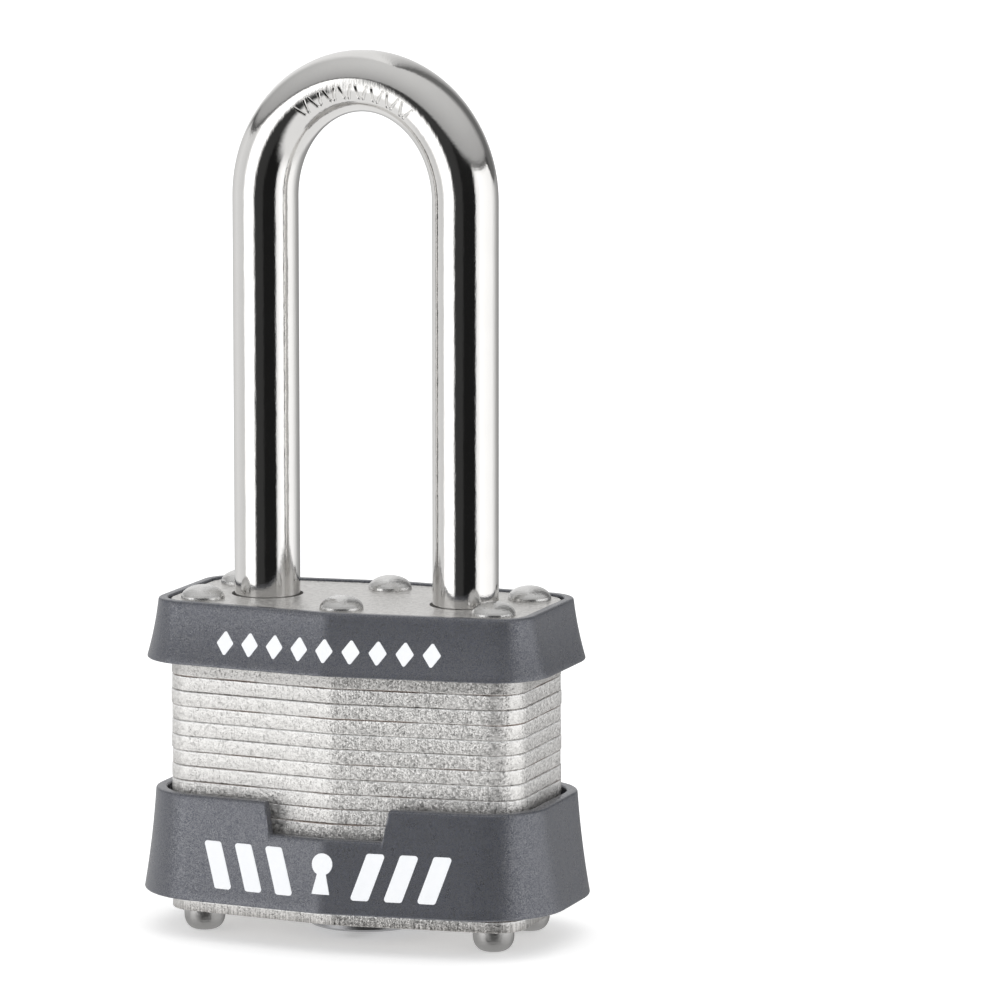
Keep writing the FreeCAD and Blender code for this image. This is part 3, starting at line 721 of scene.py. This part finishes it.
def outline(offset, corner_r, front_xs):
    """Points round the body's outline moved out by offset, with the same count for any offset.

    They start at the right-hand end and go along the back, down the left end and along the front.
    front_xs ends in the middle, at 0.
    """
    half_x = BODY_HALF_WIDTH + offset
    turn = math.pi / 2 - math.atan(FACET_SLOPE)
    corner_x = half_x - corner_r
    centre_y = facet_y(half_x, offset) - corner_r * math.tan(turn / 2)
    half = []
    for i in range(CORNER_STEPS + 1):
        a = turn * i / CORNER_STEPS
        half.append((corner_x + corner_r * math.cos(a), centre_y + corner_r * math.sin(a)))
    half += [(x, facet_y(x, offset)) for x in front_xs]
    back = half + [(-x, y) for x, y in reversed(half[:-1])]
    end = [(-half_x, centre_y * (1 - 2 * i / END_STEPS)) for i in range(1, END_STEPS)]
    return back + end + [(-x, -y) for x, y in back + end]


def flare(form, share):
    """(offset, corner radius) of the outer face at a share of the way down the bumper."""
    curve = FLARE_START * share + (1 - FLARE_START) * share * share
    return [low + (high - low) * curve for low, high in (form["offsets"], form["corners"])]


def bumper_profile(form, top_drop):
    """A closed section of the bumper as (offset, corner radius, z), from the rim down and back up.

    top_drop is how far the rim is cut down at this place.
    """
    wall, height, rim_z = form["wall"], form["height"], form["rim_z"]
    start = top_drop / height
    edge = EDGE_R / height
    low = 1 - edge
    section = []

    def put(share, inward):
        offset, corner = flare(form, share)
        section.append((offset - inward, max(corner - inward, MIN_CORNER_R), rim_z - height * share))

    angles = [math.pi / 2 * i / EDGE_STEPS for i in range(EDGE_STEPS + 1)]
    for a in angles[:-1]:
        put(start + edge * (1 - math.cos(a)), EDGE_R * (1 - math.sin(a)))
    for i in range(FLANK_ROWS + 1):
        put(start + edge + (low - start - edge) * i / FLANK_ROWS, 0.0)
    for a in angles[1:]:
        put(low + edge * math.sin(a), EDGE_R * (1 - math.cos(a)))
    for a in angles:
        put(low + edge * math.cos(a), wall - EDGE_R * (1 - math.sin(a)))
    ledge_low = form["ledge_z"] + (PLATE_T - LEDGE_T) / 2
    ledge_high = ledge_low + LEDGE_T
    put((rim_z - ledge_low) / height, wall)
    section += [(-LEDGE_IN, BODY_CORNER_R - LEDGE_IN, z) for z in (ledge_low, ledge_high)]
    put((rim_z - ledge_high) / height, wall)
    for a in angles:
        put(start + edge * (1 - math.sin(a)), wall - EDGE_R * (1 - math.cos(a)))
    return section


def ease(value):
    """A smooth rise from 0 to 1 as the value does."""
    value = min(max(value, 0.0), 1.0)
    return value * value * (3 - 2 * value)


def window_drop(x, y):
    """How far the lower bumper's rim is cut down at a place on its outline."""
    if y > 0:
        return 0.0
    across = (WINDOW_TOP_HALF - abs(x)) / (WINDOW_TOP_HALF - WINDOW_FOOT_HALF)
    return WINDOW_H * ease(across)


def front_columns(window):
    """Places along a face where the bumper has a column of points, from the corner to the middle."""
    top, foot = WINDOW_TOP_HALF, WINDOW_FOOT_HALF
    middle = [PLAIN_COLUMN]
    if window:
        middle = [top + 0.35, top + 0.12]
        middle += [top + (foot - top) * i / WINDOW_STEPS for i in range(WINDOW_STEPS + 1)]
        middle += [foot - 0.15, foot - 0.5]
    kink = [KINK_HALF * (1 - i / KINK_STEPS) for i in range(KINK_STEPS)]
    return [*OUTER_COLUMNS, *middle, *INNER_COLUMNS, *kink, 0.0]


def build_bumper(name, form, window):
    """One bumper, with or without the notch in its front edge."""
    xs = front_columns(window)
    guide = outline(*flare(form, 0.0), xs)
    sections = [bumper_profile(form, window_drop(x, y) if window else 0.0) for x, y in guide]
    rows = len(sections[0])
    verts = []
    for i in range(rows):
        loops = {}
        for j, section in enumerate(sections):
            offset, corner, z = section[i]
            key = (round(offset, 4), round(corner, 4))
            if key not in loops:
                loops[key] = outline(offset, corner, xs)
            verts.append((*loops[key][j], z))
    faces = ring_faces(rows, len(guide), close_rows=True)
    piece = mesh_object(name, verts, faces, MATERIALS["bumper_plastic"], smooth_below=50)
    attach(piece, "case")
    return piece


# ---- Printed marks ----


def on_face(form, x, z, lift):
    """A point on a bumper's front face at x and z, lifted off it."""
    offset, _ = flare(form, (form["rim_z"] - z) / form["height"])
    return (x, -facet_y(x, offset + lift), z)


def mark(name, form, shape, centre):
    """A thin raised mark whose edge is the shape's points (x, z) about centre."""
    shape = dense(shape)
    rings = [(1.0, -MARK_SINK), (1.0, MARK_T * 0.5), (MARK_BEVEL, MARK_T)]
    rings += [(share, MARK_T) for share in (0.8, 0.6, 0.4, 0.2)]
    verts = []
    for share, lift in rings:
        for x, z in shape:
            verts.append(on_face(form, centre[0] + x * share, centre[1] + z * share, lift))
    count = len(shape)
    faces = ring_faces(len(rings), count)
    faces.append(tuple(range(count)))
    last = (len(rings) - 1) * count
    verts.append(on_face(form, *centre, MARK_T))
    for j in range(count):
        faces.append((last + j, last + (j + 1) % count, len(verts) - 1))
    piece = mesh_object(name, verts, faces, MATERIALS["mark_white"], smooth_below=60)
    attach(piece, "case")


def rounded(corners, radius, arc=4):
    """The polygon's points (x, z) with each corner rounded."""
    points = []
    for i, corner in enumerate(corners):
        here = Vector(corner)
        back = (Vector(corners[i - 1]) - here).normalized()
        ahead = (Vector(corners[(i + 1) % len(corners)]) - here).normalized()
        half = back.angle(ahead) / 2
        centre = here + (back + ahead).normalized() * (radius / math.sin(half))
        start = here + back * (radius / math.tan(half)) - centre
        end = here + ahead * (radius / math.tan(half)) - centre
        for k in range(arc + 1):
            direction = start.lerp(end, k / arc).normalized()
            points.append(tuple(centre + direction * radius))
    return points


def dense(points):
    """The closed outline with points added so that none are more than MARK_GAP apart."""
    filled = []
    for i, point in enumerate(points):
        here, following = Vector(point), Vector(points[(i + 1) % len(points)])
        pieces = max(1, math.ceil((following - here).length / MARK_GAP))
        filled += [tuple(here.lerp(following, k / pieces)) for k in range(pieces)]
    return filled


def keyhole():
    """A plain keyhole: a round eye over a flaring slot."""
    start = math.asin(SLOT_NECK_HALF / EYE_R)
    foot_half, foot_drop = SLOT_FOOT
    points = []
    for i in range(EYE_STEPS + 1):
        a = -math.pi / 2 + start + (2 * math.pi - 2 * start) * i / EYE_STEPS
        points.append((EYE_R * math.cos(a), EYE_R * math.sin(a)))
    return points + [(-foot_half, -foot_drop), (foot_half, -foot_drop)]


def build_marks():
    """Slanted bars either side of a keyhole below, and a row of lozenges above."""
    half_x, half_z = BAR_HALF
    for side, letter in ((-1, "L"), (1, "R")):
        lean = BAR_SLANT * side
        corners = [
            (-half_x - lean, -half_z),
            (half_x - lean, -half_z),
            (half_x + lean, half_z),
            (-half_x + lean, half_z),
        ]
        bar = rounded(corners, BAR_CORNER_R)
        for i in range(BAR_COUNT):
            x = side * (BAR_START + BAR_PITCH * i)
            mark(f"lower_mark_bar_{letter}{i + 1}", LOWER, bar, (x, BAR_Z))
    mark("lower_mark_keyhole", LOWER, keyhole(), (0.0, BAR_Z + EYE_ABOVE_BARS))
    half_x, half_z = LOZENGE_HALF
    lozenge = rounded([(-half_x, 0), (0, -half_z), (half_x, 0), (0, half_z)], LOZENGE_CORNER_R)
    for i in range(LOZENGE_COUNT):
        x = LOZENGE_PITCH * (i - (LOZENGE_COUNT - 1) / 2)
        mark(f"upper_mark_{i + 1}", UPPER, lozenge, (x, LOZENGE_Z))


# ---- Studio ----


def build_floor():
    """A wide floor that reflections don't see."""
    near, far = -FLOOR_HALF, FLOOR_HALF
    corners = [(near, near, 0), (far, near, 0), (far, far, 0), (near, far, 0)]
    floor = mesh_object("floor", corners, [(0, 1, 2, 3)], floor_paper())
    floor.visible_glossy = False


def build_camera():
    """The camera at the photograph's angle, far off with a long lens."""
    azimuth, elevation = math.radians(VIEW_AZIMUTH), math.radians(VIEW_ELEVATION)
    level = math.cos(elevation)
    back = Vector((math.sin(azimuth) * level, -math.cos(azimuth) * level, math.sin(elevation)))
    data = bpy.data.cameras.new("camera")
    data.lens = LENS
    data.sensor_width = SENSOR_WIDTH
    data.clip_start = 0.01
    data.clip_end = 50
    camera = bpy.data.objects.new("camera", data)
    camera.location = (Vector(VIEW_TARGET) + back * VIEW_DISTANCE) * MM
    camera.rotation_euler = back.to_track_quat("Z", "Y").to_euler()
    bpy.context.scene.collection.objects.link(camera)
    bpy.context.scene.camera = camera


def by_azimuth(bands):
    """Bands of (azimuth, level) as a ramp's stops, with the back of the scene at both ends."""
    return [((azimuth + 180) / 360, level) for azimuth, level in bands]


def build_world():
    """Even soft light for every surface, and a banded tent that only reflections see."""
    world = bpy.data.worlds.new("studio")
    bpy.context.scene.world = world
    world.use_nodes = True
    tree = Tree(world.node_tree)
    way = tree.add("ShaderNodeTexCoord").outputs["Generated"]
    x, y, z = tree.add("ShaderNodeSeparateXYZ", Vector=way).outputs
    bearing = tree.math("ARCTAN2", x, tree.math("MULTIPLY", y, -1.0))
    turn = tree.math("ADD", tree.math("DIVIDE", bearing, 2 * math.pi), 0.5)
    walls = tree.ramp(turn, by_azimuth(WALLS))
    behind = tree.ramp(turn, by_azimuth(REAR_SHARE))
    ceiling = tree.ramp(tree.spread(z, 0.5, 1.0), CEILING)
    ceiling = tree.mix(behind, ceiling, tree.ramp(turn, by_azimuth(REAR)))
    lifted = tree.math("ADD", z, tree.math("MULTIPLY", behind, REAR_LIFT))
    seen = tree.mix(tree.steps(lifted, *CEILING_EDGE), walls, ceiling)
    seen = tree.mix(tree.rest_of(tree.steps(z, *FLOOR_EDGE)), seen, FLOOR_LEVEL)
    reflected = tree.add("ShaderNodeLightPath").outputs["Is Glossy Ray"]
    colour = tree.mix(reflected, WHITE, seen)
    light = tree.add("ShaderNodeBackground", Color=colour, Strength=1.0)
    tree.add("ShaderNodeOutputWorld", Surface=light.outputs[0])


# ---- Everything together ----

bpy.context.scene.view_settings.view_transform = "Standard"
build_camera()
build_world()
build_floor()

for entry in frame["record"]["subparts"]:
    node = frame["nodes"][entry["node"]]
    node.data.materials.clear()
    node.data.materials.append(MATERIALS[entry["material_slot"]])

build_shackle()
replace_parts(build_bumper("upper_bumper_skirt", UPPER, False), "upper_bumper")
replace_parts(build_bumper("lower_bumper_skirt", LOWER, True), "lower_bumper")
build_marks()
